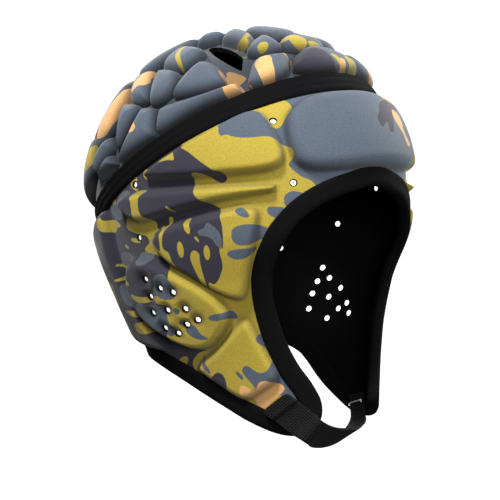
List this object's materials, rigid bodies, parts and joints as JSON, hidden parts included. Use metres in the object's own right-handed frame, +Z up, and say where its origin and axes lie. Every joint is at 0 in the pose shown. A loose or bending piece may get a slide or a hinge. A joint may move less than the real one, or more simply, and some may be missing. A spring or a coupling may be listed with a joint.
{
  "type": "padded head guard",
  "caption": "Soft padded head guard with moulded foam pads over crown, brow, temples and jaw, punched ear vents, bound edges and a webbing chin strap.",
  "frame": {"origin": "inside of the crown's top, where the top of the wearer's head meets it", "axes": "+Z up, -Y the way the wearer faces, -X the wearer's right"},
  "size_m": [0.188, 0.2222, 0.2603],
  "materials": {
    "jersey_slate": "matte knit",
    "jersey_mustard": "matte knit",
    "jersey_charcoal": "matte knit",
    "tape": "matte elastic tape",
    "webbing": "woven webbing"
  },
  "bodies": {
    "root": {"crown_shell": "jersey_charcoal", "surround_shell": "jersey_mustard", "crown_band": "tape", "crown_front": "jersey_slate", "crown_front_upper": "jersey_slate", "crown_top_centre": "jersey_slate", "crown_back_centre_top": "jersey_slate", "crown_back_centre": "jersey_slate", "crown_back_nape": "jersey_slate", "crown_rim_front_right": "jersey_slate", "crown_rim_front_left": "jersey_slate", "crown_rim_long_right": "jersey_slate", "crown_rim_long_left": "jersey_slate", "crown_rim_side_right": "jersey_slate", "crown_rim_side_left": "jersey_slate", "crown_side_rear_right": "jersey_slate", "crown_side_rear_left": "jersey_slate", "crown_lens_right": "jersey_slate", "crown_lens_left": "jersey_slate", "crown_lobe_front_right": "jersey_slate", "crown_lobe_front_left": "jersey_slate", "crown_lobe_rear_right": "jersey_slate", "crown_lobe_rear_left": "jersey_slate", "crown_upper_rear_right": "jersey_slate", "crown_upper_rear_left": "jersey_slate", "crown_top_small_right": "jersey_slate", "crown_top_small_left": "jersey_slate", "crown_top_right": "jersey_slate", "crown_top_left": "jersey_slate", "crown_top_front_right": "jersey_slate", "crown_top_front_left": "jersey_slate", "crown_back_side_right": "jersey_slate", "crown_back_side_left": "jersey_slate", "crown_back_round_right": "jersey_slate", "crown_back_round_left": "jersey_slate", "crown_back_rim_right": "jersey_slate", "crown_back_rim_left": "jersey_slate", "crown_back_upper_right": "jersey_slate", "crown_back_upper_left": "jersey_slate", "crown_back_mid_right": "jersey_slate", "crown_back_mid_left": "jersey_slate", "crown_back_low_right": "jersey_slate", "crown_back_low_left": "jersey_slate", "forehead_pad": "jersey_slate", "nape_pad": "jersey_slate", "temple_pad_right": "jersey_mustard", "temple_pad_left": "jersey_mustard", "temple_rib_right": "jersey_mustard", "temple_rib_left": "jersey_mustard", "cheek_pad_right": "jersey_mustard", "cheek_pad_left": "jersey_mustard", "jaw_pad_right": "jersey_mustard", "jaw_pad_left": "jersey_mustard", "rear_pad_right": "jersey_mustard", "rear_pad_left": "jersey_mustard", "ear_dome_right": "jersey_mustard", "ear_dome_left": "jersey_mustard", "face_binding": "tape", "neck_binding": "tape", "chin_strap": "webbing"}
  },
  "joints": []
}
